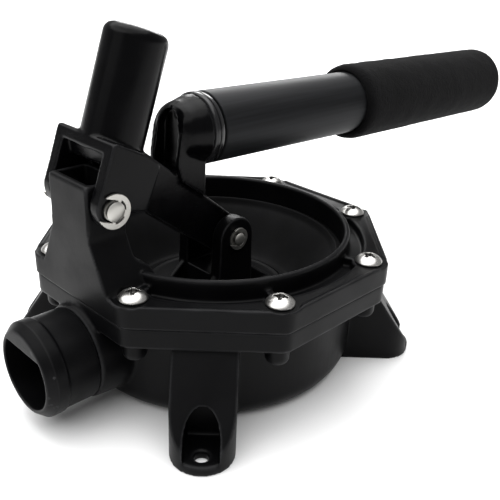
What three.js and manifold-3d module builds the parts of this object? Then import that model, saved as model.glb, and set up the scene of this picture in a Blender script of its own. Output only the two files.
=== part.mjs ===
// Hand-operated diaphragm bilge pump: a round chamber on four feet, a screwed clamp ring with a
// pivot tower, a lever with two handle spigots, and a removable tube handle with a foam grip.
// Millimetres, +Z up, +X towards the grip. The feet stand on z = 0, and the pump's own axis is
// moved back by PUMP_AXIS_X so that the origin lies under the middle of the whole object.
import * as THREE from 'three';
import { mergeVertices } from 'three/addons/utils/BufferGeometryUtils.js';
import Module from 'manifold-3d';

const wasm = await Module();
wasm.setup();

// ---------- driving dimensions ----------
const GAP = 0.3;                 // between pieces that rest on or pass through each other
const WELD = 0.02;               // edges shorter than this are closed up
const PUMP_AXIS_X = -64.5;       // chamber axis, from the middle of the object's length

const BOLT_CIRCLE_R = 75;
const BOLT_COUNT = 8;
const BOLT_FIRST_DEG = 22.5;

const SEAM_Z = 52;               // clamp ring meets chamber flange
const RING_TOP_Z = 61;
const RIM_TOP_Z = 66.7;
const RIM_OUTER_R = 63.8;
const RIM_INNER_R = 61;
const RING_CORNER_R = 8.7;       // rounding of the octagon about each screw
const FLANGE_CORNER_R = 8;
const FLANGE_BOTTOM_Z = 43;
const LAND_INNER_R = 71;         // inside this radius the diaphragm's rim is clamped
const CHANNEL_FLOOR_Z = 57.5;

const BOWL_R = 67.7;
const BOWL_WALL = 4.7;
const BOWL_BOTTOM_Z = 0.7;
const BOWL_EDGE_R = 10;
const BOWL_FLOOR = 4.3;
const BOWL_FILLET = 6;           // between the floor and the wall, inside
const SCREW_BOSS_R = 5.5;
const SCREW_BOSS_BOTTOM_Z = 34;

const SCREW_SHANK_R = 2.4;
const SCREW_TIP_Z = 37;
const SCREW_HEAD_R = 6;
const SCREW_HEAD_H = 3.6;
const SCREW_PAD_R = 7.4;

const FOOT_ROOT_U = 57.7;        // inside the chamber wall, from the chamber axis
const FOOT_HALF_WIDTH = 13.5;
const FOOT_TIP_U = 99.7;         // furthest reach from the chamber axis
const FOOT_TOP_U = 73.9;
const FOOT_TIP_HEIGHT = 4.9;
const FOOT_POCKET_HALF = 7.3;
const FOOT_POCKET_U = 79.5;
const FOOT_FLOOR = 4.2;
const FOOT_ARCH_Z = 23.6;
const FOOT_ARCH_START_Z = 12;
const FOOT_HOLE_U = 92.4;
const FOOT_HOLE_R = 3;

const PORT_Z = 27;
const PORT_COLLAR_R = 21.6;
const PORT_COLLAR_END = 80;
const SEPTUM_OUT = 68;           // valve wall, from the chamber axis
const SEPTUM_IN = 65;
const VALVE_OPENING_R = 12.5;
const VALVE_OPENING_TOP = 5.5;
const TAIL_R = 18.85;
const TAIL_BORE_R = 15.5;
const TAIL_FLAT = 8;             // flat top of the D-shaped bore, above the port axis
const TAIL_START = 71.5;
const TAIL_END = 103.5;
const BEAD_R = 20.8;
const BEAD_LENGTH = 12;
const FLAP_R = 14.8;
const FLAP_TOP = 7.3;
const FLAP_THICK = 2;
const FLAP_BAR_HALF = 11;
const FLAP_BAR_THICK = 2.6;
const FLAP_BAR_TOP = 11.5;
const SEAL_INNER_R = 16.3;

const PLATE_Z = 29;              // underside of the upper diaphragm plate
const PLATE_R = 37;
const PLATE_TOP_Z = 32;
const LOWER_PLATE_R = 34;
const DIAPHRAGM_THICK = 2;
const DIAPHRAGM_BEND_R = 59.6;   // outside this radius the diaphragm lies flat
const LOWER_PLATE_THICK = 3;
const WASHER_R = 9;
const WASHER_THICK = 1.2;
const PLATE_SCREW_R = 3;
const PLATE_SCREW_TOP_Z = 39;
const PLATE_SCREW_HEAD_R = 5.8;
const PLATE_SCREW_HEAD_H = 2.6;
const POST_BASE_HALF_X = 26.5;
const POST_BASE_HALF_Y = 16.5;
const POST_BASE_TOP_Z = 34;
const POST_HALF_X = 11;
const POST_HALF_Y = 15;
const EAR_INNER_Y = 8.3;
const EAR_GAP_BOTTOM_Z = 44;

const PIVOT_X = -70.2;
const PIVOT_Z = 95.1;
const ROD_X = 0;
const ROD_Z = 62;
const PIN_R = 4;
const CLIP_R = 7;
const CLIP_THICK = 1.2;

const TOWER_FRONT_X = -78;
const TOWER_TOP_Z = 104;
const TOWER_HALF = 13.2;
const TOWER_WELL_Z = 69;         // floor of the tower's hollow, which is open at the top
const BRACKET_INNER_Y = 13.9;
const BRACKET_OUTER_Y = 19.5;
const BRACKET_ROOF_HALF = 18;
const ARM_HALF = 7.7;
const ARM_EYE_R = 9.4;
const ARM_EYE_SHIFT = 1.2;       // the eye's centre lies this far past the rod pin
const ROD_SLOT = 2.6;            // the rod pin's free travel along the arm
const ROD_PLAY = 0.7;            // and its room across the arm
const POST_HALF = 10;            // the handle's post is arched, with a channel open to the tower
const POST_ARCH_Z = 115.5;
const CHANNEL_HALF = 5.2;
const CHANNEL_BOTTOM_Z = 98;
const CHANNEL_ARCH_Z = 116;

const HANDLE_AXIS_Z = 112.65;     // above the rod pin
const HANDLE_TILT_DEG = 1.66;    // the handle runs slightly down towards the grip
const SPIGOT_R = 12.9;
const SPIGOT_END = 72;
const TUBE_R = 15.9;
const TUBE_BORE_R = 13.2;
const TUBE_START = -8.6;
const TUBE_END = 222;
const GRIP_R = 20;
const GRIP_START = 90;
const GRIP_END = 232.2;
const COLLAR_START = -14.8;
const BOSS_R = 15.2;
const PARK_SPIGOT_DEG = 70.8;    // lean of the upright spigot, from horizontal
const PARK_SPIGOT_X = -51.2;
const PARK_SPIGOT_Z = 130.5;
const PIN_TAIL = 1.2;            // a pin's end stands this far past its snap clip
const GROOVE_DEPTH = 1;

// ---------- materials ----------
const plastic = (color, roughness) => new THREE.MeshStandardMaterial({ color, roughness, metalness: 0 });
const metal = (color, roughness) => new THREE.MeshStandardMaterial({ color, roughness, metalness: 1 });
const blackPlastic = () => plastic(0x17181a, 0.5);
const glossPlastic = () => plastic(0x141416, 0.3);
const rubber = () => plastic(0x1b1b1c, 0.75);
const foam = () => plastic(0x101011, 0.95);
const stainless = () => metal(0xcfcdc8, 0.22);
const anodised = () => metal(0x2a2b2e, 0.4);

// ---------- solids ----------
const rad = THREE.MathUtils.degToRad;

function toSolid(geometry) {
  const bare = geometry.index ? geometry : geometry.clone();
  bare.deleteAttribute('normal');
  bare.deleteAttribute('uv');
  const merged = mergeVertices(bare, 1e-4);
  const mesh = new wasm.Mesh({
    numProp: 3,
    vertProperties: new Float32Array(merged.attributes.position.array),
    triVerts: new Uint32Array(merged.index.array),
  });
  return new wasm.Manifold(mesh);
}

function toGeometry(solid) {
  const mesh = solid.simplify(WELD).getMesh();
  const geometry = new THREE.BufferGeometry();
  geometry.setAttribute('position', new THREE.BufferAttribute(new Float32Array(mesh.vertProperties), 3));
  geometry.setIndex(new THREE.BufferAttribute(new Uint32Array(mesh.triVerts), 1));
  return geometry;
}

const union = (...solids) => solids.reduce((sum, solid) => sum.add(solid));
const without = (solid, cuts) => cuts.reduce((left, cut) => left.subtract(cut), solid);

// A turned solid about Z; points are [radius, z], from the axis and back to it, or a closed loop.
function turned(points, segments = 48) {
  const profile = points.map(([r, z]) => new THREE.Vector2(r, z));
  if (THREE.ShapeUtils.isClockWise(profile)) {
    profile.reverse();
  }
  return toSolid(new THREE.LatheGeometry(profile, segments).rotateX(Math.PI / 2));
}

// A ring's profile is closed by its first point.
const ring = (points, segments) => turned([...points, points[0]], segments);

const rod = (radius, z0, z1, segments = 24) =>
  turned([[0, z1], [radius, z1], [radius, z0], [0, z0]], segments);

// A flat outline of [a, b] points, with corners rounded where a third value gives a radius.
function outline(points) {
  const shape = new THREE.Shape();
  const goTo = (point, i) => (i === 0 ? shape.moveTo(point.x, point.y) : shape.lineTo(point.x, point.y));
  const vector = ([a, b]) => new THREE.Vector2(a, b);
  points.forEach((point, i) => {
    const corner = vector(point);
    const radius = point[2] ?? 0;
    if (radius === 0) {
      goTo(corner, i);
      return;
    }
    const before = vector(points.at(i - 1)).sub(corner).normalize();
    const after = vector(points[(i + 1) % points.length]).sub(corner).normalize();
    const back = radius / Math.tan(Math.acos(before.dot(after)) / 2);
    goTo(corner.clone().addScaledVector(before, back), i);
    const end = corner.clone().addScaledVector(after, back);
    shape.quadraticCurveTo(corner.x, corner.y, end.x, end.y);
  });
  return shape;
}

function extruded(shape, from, to, curveSegments = 3) {
  const geometry = new THREE.ExtrudeGeometry(shape, { depth: to - from, bevelEnabled: false, curveSegments });
  return geometry.translate(0, 0, from);
}

// Outlines drawn in plan, in side view (x, z) and in front view (y, z).
const planBlock = (shape, z0, z1, curve) => toSolid(extruded(shape, z0, z1, curve));
const sideBlock = (shape, y0, y1, curve) => toSolid(extruded(shape, -y1, -y0, curve).rotateX(Math.PI / 2));
const frontBlock = (shape, x0, x1, curve) =>
  toSolid(extruded(shape, x0, x1, curve).rotateX(Math.PI / 2).rotateZ(Math.PI / 2));

const box = (x0, x1, y0, y1, z0, z1) =>
  toSolid(new THREE.BoxGeometry(x1 - x0, y1 - y0, z1 - z0)
    .translate((x0 + x1) / 2, (y0 + y1) / 2, (z0 + z1) / 2));

function disc(radius) {
  const shape = new THREE.Shape();
  shape.absarc(0, 0, radius, 0, 2 * Math.PI);
  return shape;
}

// Places a solid whose own axis is Z so that it points along X, or along Y.
const alongX = (solid) => solid.rotate([0, 90, 0]);
const alongY = (solid) => solid.rotate([90, 0, 0]);
const onPortAxis = (solid) => alongX(solid).translate([0, 0, PORT_Z]);
const pinHole = (x, z) => alongY(rod(PIN_R + GAP, -30, 30, 20)).translate([x, 0, z]);

const boltAngles = Array.from({ length: BOLT_COUNT }, (_, i) => BOLT_FIRST_DEG + (i * 360) / BOLT_COUNT);
const footAngles = [45, 135, 225, 315];

function atBolts(solid) {
  return boltAngles.map((deg) => solid.translate([BOLT_CIRCLE_R, 0, 0]).rotate([0, 0, deg]));
}

// An octagon with rounded corners: every corner is an arc about its screw.
function octagon(cornerR) {
  const shape = new THREE.Shape();
  for (const deg of boltAngles) {
    const x = BOLT_CIRCLE_R * Math.cos(rad(deg));
    const y = BOLT_CIRCLE_R * Math.sin(rad(deg));
    const half = 180 / BOLT_COUNT;
    shape.absarc(x, y, cornerR, rad(deg - half), rad(deg + half));
  }
  return shape;
}

// A block with a D-shaped section about a port's axis: a circle cut off by a level line.
function dBlock(radius, top, x0, x1) {
  const half = Math.sqrt(radius * radius - top * top);
  const right = Math.atan2(top, half);
  const shape = new THREE.Shape();
  shape.absarc(0, PORT_Z, radius, Math.PI - right, 2 * Math.PI + right, false);
  shape.closePath();
  return frontBlock(shape, x0, x1, 10);
}

const mirrorX = (solid) => solid.mirror([1, 0, 0]);

// ---------- chamber ----------
// The space inside the chamber wall, from its floor up to z = top.
function chamberSpace(top) {
  const wall = BOWL_R - BOWL_WALL;
  const floor = BOWL_BOTTOM_Z + BOWL_FLOOR;
  const middle = 0.3 * BOWL_FILLET;
  return turned([
    [0, floor], [wall - BOWL_FILLET, floor], [wall - middle, floor + middle], [wall, floor + BOWL_FILLET],
    [wall, top], [0, top],
  ], 40);
}

function bowl() {
  const top = SEAM_Z - GAP / 2;
  const profile = [[0, BOWL_BOTTOM_Z]];
  for (let deg = -90; deg <= 0; deg += 22.5) {
    const r = BOWL_R - BOWL_EDGE_R + BOWL_EDGE_R * Math.cos(rad(deg));
    profile.push([r, BOWL_BOTTOM_Z + BOWL_EDGE_R * (1 + Math.sin(rad(deg)))]);
  }
  return turned([...profile, [BOWL_R, top], [0, top]], 40);
}

// One foot, reaching out along +X from the chamber wall; the others are turned copies. Its screw
// pocket is an arch open at the tip.
function foot() {
  const top = FLANGE_BOTTOM_Z + 2;
  const side = outline([
    [FOOT_ROOT_U, 0], [FOOT_TIP_U, 0], [FOOT_TIP_U, FOOT_TIP_HEIGHT, 1.5],
    [FOOT_TOP_U, FLANGE_BOTTOM_Z], [FOOT_TOP_U, top], [FOOT_ROOT_U, top],
  ]);
  const plan = new THREE.Shape();
  plan.moveTo(FOOT_ROOT_U, -FOOT_HALF_WIDTH);
  plan.lineTo(FOOT_TIP_U - FOOT_HALF_WIDTH, -FOOT_HALF_WIDTH);
  plan.absarc(FOOT_TIP_U - FOOT_HALF_WIDTH, 0, FOOT_HALF_WIDTH, -Math.PI / 2, Math.PI / 2);
  plan.lineTo(FOOT_ROOT_U, FOOT_HALF_WIDTH);
  const block = sideBlock(side, -FOOT_HALF_WIDTH, FOOT_HALF_WIDTH).intersect(planBlock(plan, 0, top, 6));

  const arch = new THREE.Shape();
  arch.moveTo(-FOOT_POCKET_HALF, FOOT_FLOOR);
  arch.lineTo(FOOT_POCKET_HALF, FOOT_FLOOR);
  const rise = FOOT_ARCH_Z - FOOT_ARCH_START_Z;
  arch.absellipse(0, FOOT_ARCH_START_Z, FOOT_POCKET_HALF, rise, 0, Math.PI);
  const pocket = frontBlock(arch, FOOT_POCKET_U, FOOT_TIP_U + 1, 6);
  const hole = rod(FOOT_HOLE_R, -1, FOOT_FLOOR + 1, 16).translate([FOOT_HOLE_U, 0, 0]);
  return { block, pocket, hole };
}

function makeBody() {
  const flangeTop = SEAM_Z - GAP / 2;
  const collar = onPortAxis(rod(PORT_COLLAR_R, SEPTUM_IN - 8, PORT_COLLAR_END, 24));
  const septum = onPortAxis(rod(SEAL_INNER_R + 1, SEPTUM_IN, SEPTUM_OUT, 20));
  const socket = onPortAxis(rod(TAIL_R + GAP, SEPTUM_OUT, PORT_COLLAR_END + 1, 24));
  const recess = onPortAxis(rod(SEAL_INNER_R, SEPTUM_IN - 15, SEPTUM_IN, 20));
  const opening = dBlock(VALVE_OPENING_R, VALVE_OPENING_TOP, SEPTUM_IN - 4, SEPTUM_OUT + 2);
  const oneFoot = foot();
  const atFeet = (solid) => footAngles.map((deg) => solid.rotate([0, 0, deg]));
  const onBothPorts = (...solids) => [...solids, ...solids.map(mirrorX)];

  const shell = union(
    bowl(),
    planBlock(octagon(FLANGE_CORNER_R), FLANGE_BOTTOM_Z, flangeTop, 2),
    ...atBolts(rod(SCREW_BOSS_R, SCREW_BOSS_BOTTOM_Z, FLANGE_BOTTOM_Z + 1, 12)),
    ...atFeet(oneFoot.block),
    ...onBothPorts(collar),
  );
  const walls = union(shell.subtract(chamberSpace(SEAM_Z + 1)), ...onBothPorts(septum));
  const cuts = [
    ...onBothPorts(socket, recess, opening),
    ...atFeet(oneFoot.pocket),
    ...atFeet(oneFoot.hole),
    ...atBolts(rod(SCREW_SHANK_R + GAP, SCREW_TIP_Z - 1, SEAM_Z + 1, 10)),
  ];
  return without(walls, cuts);
}

// ---------- hose tails and flap valves, drawn on +X ----------
function makeTail() {
  const beadStart = TAIL_END - BEAD_LENGTH;
  const tube = onPortAxis(turned([
    [0, TAIL_START], [TAIL_R, TAIL_START], [TAIL_R, beadStart], [BEAD_R, beadStart + 1.5],
    [BEAD_R, TAIL_END - 5], [TAIL_R - 0.4, TAIL_END - 0.8], [TAIL_R - 1.2, TAIL_END], [0, TAIL_END],
  ], 28));
  return tube.subtract(dBlock(TAIL_BORE_R, TAIL_FLAT, TAIL_START - 1, TAIL_END + 1));
}

const makeSeal = () =>
  onPortAxis(ring([
    [SEAL_INNER_R, SEPTUM_OUT + GAP], [SEAL_INNER_R, TAIL_START - GAP],
    [TAIL_R - GAP, TAIL_START - GAP], [TAIL_R - GAP, SEPTUM_OUT + GAP],
  ], 24));

const makeFlap = (x) => dBlock(FLAP_R, FLAP_TOP, x, x + FLAP_THICK);

const makeFlapBar = (x) =>
  box(x, x + FLAP_BAR_THICK, -FLAP_BAR_HALF, FLAP_BAR_HALF, PORT_Z + FLAP_TOP + 1, PORT_Z + FLAP_BAR_TOP);

// ---------- clamp ring with its tower ----------
function makeClampRing() {
  const bottom = SEAM_Z + GAP / 2;
  const plate = planBlock(octagon(RING_CORNER_R), bottom, RING_TOP_Z, 2);
  const rim = ring([
    [RIM_INNER_R, bottom], [RIM_INNER_R, RIM_TOP_Z - 1.2], [RIM_INNER_R + 1, RIM_TOP_Z],
    [RIM_OUTER_R - 1, RIM_TOP_Z], [RIM_OUTER_R, RIM_TOP_Z - 1.2], [RIM_OUTER_R, bottom],
  ], 40);
  const channel = ring([
    [RIM_OUTER_R, CHANNEL_FLOOR_Z], [RIM_OUTER_R, RING_TOP_Z + 1], [LAND_INNER_R, RING_TOP_Z + 1],
    [LAND_INNER_R - 0.8, CHANNEL_FLOOR_Z],
  ], 40);
  const mouth = rod(RIM_INNER_R, bottom - 1, RIM_TOP_Z + 1, 40);
  const clampRecess = rod(LAND_INNER_R + GAP, bottom - 1, SEAM_Z + DIAPHRAGM_THICK + 2 * GAP, 40);
  const pads = atBolts(rod(SCREW_PAD_R, CHANNEL_FLOOR_Z - 1, RING_TOP_Z, 14));
  const ribStart = RIM_OUTER_R - BOLT_CIRCLE_R - 1;
  const ribs = atBolts(box(ribStart, -SCREW_HEAD_R - GAP, -1.5, 1.5, CHANNEL_FLOOR_Z - 1, RING_TOP_Z + 0.6));

  const open = without(union(plate.subtract(channel), rim, ...pads, ...ribs), [mouth, clampRecess]);
  const shankHole = rod(SCREW_SHANK_R + GAP, bottom - 2, RING_TOP_Z + 1, 10);
  const headRoom = rod(SCREW_HEAD_R + 2 * GAP, RING_TOP_Z, RING_TOP_Z + 12, 14);
  const cuts = [...atBolts(shankHole), ...atBolts(headRoom), pinHole(PIVOT_X, PIVOT_Z)];
  return without(union(open, makeTower()), cuts);
}

// The tower rises from the ring's rear flat, flares into it, and steps over the rim at the back.
function makeTower() {
  const base = SEAM_Z + DIAPHRAGM_THICK + 2 * GAP + 0.4;
  const side = outline([
    [TOWER_FRONT_X, base], [-RIM_INNER_R, base], [-52.7, base + 4], [-52.7, 61, 2], [-57.5, 73, 8], [-60.6, 82, 4],
    [-58.2, TOWER_TOP_Z - 4, 2], [-59.5, TOWER_TOP_Z, 1.5], [TOWER_FRONT_X, TOWER_TOP_Z, 1.5],
  ]);
  const front = outline([
    [-25, base], [25, base], [24, 60, 3], [17.5, 73, 8], [TOWER_HALF, 82, 6], [TOWER_HALF, TOWER_TOP_Z, 1.5],
    [-TOWER_HALF, TOWER_TOP_Z, 1.5], [-TOWER_HALF, 82, 6], [-17.5, 73, 8], [-24, 60, 3],
  ]);
  const well = box(TOWER_FRONT_X + 3, -62, -TOWER_HALF + 2.2, TOWER_HALF - 2.2, TOWER_WELL_Z, TOWER_TOP_Z + 1);
  return sideBlock(side, -26, 26).intersect(frontBlock(front, TOWER_FRONT_X - 1, -50)).subtract(well);
}

// ---------- screws: domed heads with a cross recess ----------
function makeCoverScrew() {
  const seat = RING_TOP_Z + GAP;
  const top = seat + SCREW_HEAD_H;
  const solid = turned([
    [0, top], [3.2, top - 0.5], [5.2, top - 1.8], [SCREW_HEAD_R, seat + 0.4], [SCREW_HEAD_R, seat],
    [SCREW_SHANK_R, seat], [SCREW_SHANK_R, SCREW_TIP_Z], [0, SCREW_TIP_Z],
  ], 12);
  const slot = box(-2.7, 2.7, -0.55, 0.55, top - 1.7, top + 1);
  return solid.subtract(slot).subtract(slot.rotate([0, 0, 90]));
}

// ---------- diaphragm and its plates ----------
function makeDiaphragm() {
  const rimZ = SEAM_Z + GAP / 2 + GAP;
  const edgeZ = PLATE_Z - GAP - DIAPHRAGM_THICK;
  const top = [];
  const bottom = [];
  const steps = 6;
  for (let i = 0; i <= steps; i++) {
    const t = i / steps;
    const ease = t * t * (3 - 2 * t);
    const r = DIAPHRAGM_BEND_R - (DIAPHRAGM_BEND_R - PLATE_R - 1) * t;
    const drop = (rimZ - edgeZ) * ease;
    top.push([r, rimZ + DIAPHRAGM_THICK - drop]);
    bottom.push([r, rimZ - drop]);
  }
  return ring([
    [PLATE_SCREW_R + 0.4, edgeZ], [PLATE_SCREW_R + 0.4, edgeZ + DIAPHRAGM_THICK], ...top.reverse(),
    [LAND_INNER_R - 0.6, rimZ + DIAPHRAGM_THICK], [LAND_INNER_R - 0.6, rimZ], ...bottom,
  ], 36);
}

function makeUpperPlate() {
  const plate = turned([
    [0, PLATE_TOP_Z], [PLATE_R - 1.2, PLATE_TOP_Z], [PLATE_R, PLATE_TOP_Z - 1.2], [PLATE_R, PLATE_Z],
    [0, PLATE_Z],
  ], 32);
  const base = box(
    -POST_BASE_HALF_X, POST_BASE_HALF_X, -POST_BASE_HALF_Y, POST_BASE_HALF_Y,
    PLATE_TOP_Z - 1, POST_BASE_TOP_Z,
  );
  const postSide = new THREE.Shape();
  postSide.moveTo(-POST_HALF_X, PLATE_TOP_Z);
  postSide.lineTo(POST_HALF_X, PLATE_TOP_Z);
  postSide.absarc(ROD_X, ROD_Z, POST_HALF_X, 0, Math.PI);
  const post = sideBlock(postSide, -POST_HALF_Y, POST_HALF_Y, 6);
  const gap = box(-20, 20, -EAR_INNER_Y, EAR_INNER_Y, EAR_GAP_BOTTOM_Z, ROD_Z + 20);
  const screwBore = rod(PLATE_SCREW_R + GAP, PLATE_Z - 1, PLATE_SCREW_TOP_Z + 1, 16);
  return without(union(plate, base, post), [gap, pinHole(ROD_X, ROD_Z), screwBore]);
}

const LOWER_PLATE_TOP_Z = PLATE_Z - 2 * GAP - DIAPHRAGM_THICK;
const WASHER_TOP_Z = LOWER_PLATE_TOP_Z - LOWER_PLATE_THICK - GAP;
const PLATE_SCREW_SEAT_Z = WASHER_TOP_Z - WASHER_THICK - GAP;

const makeLowerPlate = () => {
  const bottom = LOWER_PLATE_TOP_Z - LOWER_PLATE_THICK;
  return ring([
    [PLATE_SCREW_R + GAP, bottom], [PLATE_SCREW_R + GAP, LOWER_PLATE_TOP_Z],
    [LOWER_PLATE_R, LOWER_PLATE_TOP_Z], [LOWER_PLATE_R, bottom + 1.4], [LOWER_PLATE_R - 2, bottom],
  ], 28);
};

const makePlateWasher = () => {
  const bottom = WASHER_TOP_Z - WASHER_THICK;
  const bore = PLATE_SCREW_R + GAP;
  return ring([[bore, bottom], [bore, WASHER_TOP_Z], [WASHER_R, WASHER_TOP_Z], [WASHER_R, bottom]], 16);
};

function makePlateScrew() {
  const shank = rod(PLATE_SCREW_R, PLATE_SCREW_SEAT_Z - 1, PLATE_SCREW_TOP_Z, 16);
  const head = rod(PLATE_SCREW_HEAD_R, PLATE_SCREW_SEAT_Z - PLATE_SCREW_HEAD_H, PLATE_SCREW_SEAT_Z, 6);
  return union(shank, head);
}

// ---------- lever ----------
// Takes a solid drawn along Z from the handle's root to its place along the handle.
function handleFrame(solid) {
  return alongX(solid).rotate([0, HANDLE_TILT_DEG, 0]).translate([0, 0, HANDLE_AXIS_Z]);
}

// The back of the window between the roof and the tower, from its top bar down to the arm.
const windowBack = [[-67.2, 115.4], [-66.6, 109.2], [-57, 104.5], [-54, 91]];

// Two plates that hold the pivot pin either side of the tower, under one roof.
function makeBracket() {
  const plateSide = outline([
    [-68.2, 121, 1.5], [-73.9, 105.4], [-77.5, 96.4, 5], [-75.6, 89.6, 4], [-70.3, 87.4, 4], [-65.6, 88.4, 3],
    [-62.8, 92.6, 1.5], [-54.6, 89.8, 1.5], [-46.9, 108.3, 1.5], [-54, 113.8],
  ]);
  const roofSide = outline([
    [-68.2, 121, 1.5], [-70.2, 115.6], ...windowBack, [-52.5, 93], [-46.9, 108.3, 1.5], [-54, 113.8],
  ]);
  return union(
    sideBlock(plateSide, BRACKET_INNER_Y, BRACKET_OUTER_Y),
    sideBlock(plateSide, -BRACKET_OUTER_Y, -BRACKET_INNER_Y),
    sideBlock(roofSide, -BRACKET_ROOF_HALF, BRACKET_ROOF_HALF),
  );
}

// The arm from the bracket down to the rod pin, whose eye is an oblong slot.
function makeArm() {
  const along = new THREE.Vector2(ROD_X - PIVOT_X, ROD_Z - PIVOT_Z).normalize();
  const onArm = (distance) => [ROD_X + along.x * distance, ROD_Z + along.y * distance];
  const side = outline([[-46.9, 111.3], [-54, 106], [-54, 91], [-6, 53.4], [6, 60], [5.2, 69.2]]);
  const [eyeX, eyeZ] = onArm(ARM_EYE_SHIFT);
  const eye = alongY(rod(ARM_EYE_R, -ARM_HALF, ARM_HALF, 28)).translate([eyeX, 0, eyeZ]);

  const turn = Math.atan2(along.y, along.x);
  const slotShape = new THREE.Shape();
  slotShape.absarc(...onArm(0), PIN_R + ROD_PLAY, turn + Math.PI / 2, turn + 1.5 * Math.PI);
  slotShape.absarc(...onArm(ROD_SLOT), PIN_R + ROD_PLAY, turn - Math.PI / 2, turn + Math.PI / 2);
  return { arm: union(sideBlock(side, -ARM_HALF, ARM_HALF), eye), slot: sideBlock(slotShape, -20, 20, 6) };
}

// The post under the handle, with the boss and the spigot that the tube slides over.
function makeHandleRoot() {
  const postSide = outline([
    [-28.5, 94.5], [-30.8, 102], [-28.8, 114], [-27, 121, 4], [-23, 125.8, 3], [-15.3, 126.5], [-15.3, 85],
  ]);
  const arched = (half, bottom, archZ) => {
    const shape = new THREE.Shape();
    shape.moveTo(-half, bottom);
    shape.lineTo(half, bottom);
    shape.absarc(0, archZ, half, 0, Math.PI);
    return shape;
  };
  const post = sideBlock(postSide, -POST_HALF, POST_HALF)
    .intersect(frontBlock(arched(POST_HALF, 80, POST_ARCH_Z), -40, -5, 10));
  const channel = frontBlock(arched(CHANNEL_HALF, CHANNEL_BOTTOM_Z, CHANNEL_ARCH_Z), -40, -18, 8);
  const boss = handleFrame(turned([
    [0, -29], [7, -29], [9.5, -28], [12, -26], [13.4, -22], [14.6, -18], [BOSS_R, COLLAR_START], [0, COLLAR_START],
  ], 36));
  const spigot = handleFrame(turned([
    [0, SPIGOT_END], [SPIGOT_R - 2, SPIGOT_END], [SPIGOT_R, SPIGOT_END - 3], [SPIGOT_R, COLLAR_START - 1],
    [0, COLLAR_START - 1],
  ], 32));
  return union(union(post, boss).subtract(channel), spigot);
}

// The upright spigot that parks the handle, closed at its end, on the bracket's roof.
function makeParkSpigot() {
  const profile = [[0, 28.6], [9.5, 28.2], [12, 26.5], [SPIGOT_R, 24], [SPIGOT_R, -22], [0, -22]];
  const spigot = turned(profile, 32).rotate([0, 90 - PARK_SPIGOT_DEG, 0])
    .translate([PARK_SPIGOT_X, 0, PARK_SPIGOT_Z]);
  const windowRoom = sideBlock(outline([[-80, 115.4], ...windowBack, [-54, 54], [-90, 54]]), -30, 30);
  return spigot.subtract(windowRoom);
}

function makeLever() {
  const { arm, slot } = makeArm();
  const solid = union(makeBracket(), arm, makeHandleRoot(), makeParkSpigot());
  return without(solid, [pinHole(PIVOT_X, PIVOT_Z), slot]);
}

// The raised collar that the handle tube seats against, a ring around the root of the spigot.
const makeCollar = () =>
  handleFrame(ring([
    [SPIGOT_R + GAP, COLLAR_START + GAP], [SPIGOT_R + GAP, TUBE_START - 1], [TUBE_R - 0.5, TUBE_START - 1],
    [TUBE_R, TUBE_START - 2], [TUBE_R, COLLAR_START + 1.5], [TUBE_R - 0.8, COLLAR_START + GAP],
  ], 28));

// ---------- handle ----------
const makeTube = () =>
  handleFrame(ring([
    [TUBE_BORE_R, TUBE_START], [TUBE_BORE_R, TUBE_END], [TUBE_R, TUBE_END], [TUBE_R, TUBE_START],
  ], 28));

const makeGrip = () =>
  handleFrame(turned([
    [0, GRIP_END], [13, GRIP_END], [16.5, GRIP_END - 0.9], [18.9, GRIP_END - 3.2], [GRIP_R, GRIP_END - 7],
    [GRIP_R, GRIP_START + 4], [GRIP_R - 1, GRIP_START + 1.2], [GRIP_R - 2.6, GRIP_START],
    [TUBE_R + GAP, GRIP_START],
    [TUBE_R + GAP, TUBE_END + GAP], [0, TUBE_END + GAP],
  ], 28));

// ---------- pins and clips ----------
// A pin along Y with a groove for a clip near each end.
function makePin(halfLength) {
  const grooveOut = halfLength - PIN_TAIL + GAP;
  const grooveIn = halfLength - PIN_TAIL - CLIP_THICK - GAP;
  const half = [
    [PIN_R - 0.4, halfLength], [PIN_R, halfLength - 0.4], [PIN_R, grooveOut + 0.3],
    [PIN_R - GROOVE_DEPTH, grooveOut], [PIN_R - GROOVE_DEPTH, grooveIn], [PIN_R, grooveIn - 0.3],
  ];
  const otherHalf = half.map(([r, z]) => [r, -z]).reverse();
  return alongY(turned([[0, halfLength], ...half, ...otherHalf, [0, -halfLength]], 16));
}

// A flat snap ring with an open side, which grips the pin's groove with three lugs.
function makeClip(openDeg) {
  const shape = disc(CLIP_R);
  const inner = new THREE.Path();
  inner.absarc(0, 0, PIN_R - GROOVE_DEPTH + GAP, 0, 2 * Math.PI, true);
  shape.holes.push(inner);
  const flat = planBlock(shape, 0, CLIP_THICK, 8);
  const mouthHalf = PIN_R - GROOVE_DEPTH - 0.2;
  const lugHalf = 1.4;
  const cutBox = (x0, x1, y0, y1) => box(x0, x1, y0, y1, -1, CLIP_THICK + 1);
  const mouth = cutBox(0, CLIP_R + 2, -mouthHalf, mouthHalf);
  const lugs = union(cutBox(-CLIP_R, 0, -lugHalf, lugHalf), cutBox(-lugHalf, lugHalf, -CLIP_R, CLIP_R));
  const relief = rod(PIN_R + 0.9, -1, CLIP_THICK + 1, 12).subtract(lugs);
  return without(flat, [mouth, relief]).rotate([0, 0, openDeg]);
}

// ---------- the assembly ----------
const pump = new THREE.Group();
pump.position.x = PUMP_AXIS_X;

function place(name, solid, material) {
  const mesh = new THREE.Mesh(toGeometry(solid), material);
  mesh.name = name;
  pump.add(mesh);
  return mesh;
}

place('chamber_body', makeBody(), blackPlastic());
place('clamp_ring', makeClampRing(), blackPlastic());

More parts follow.
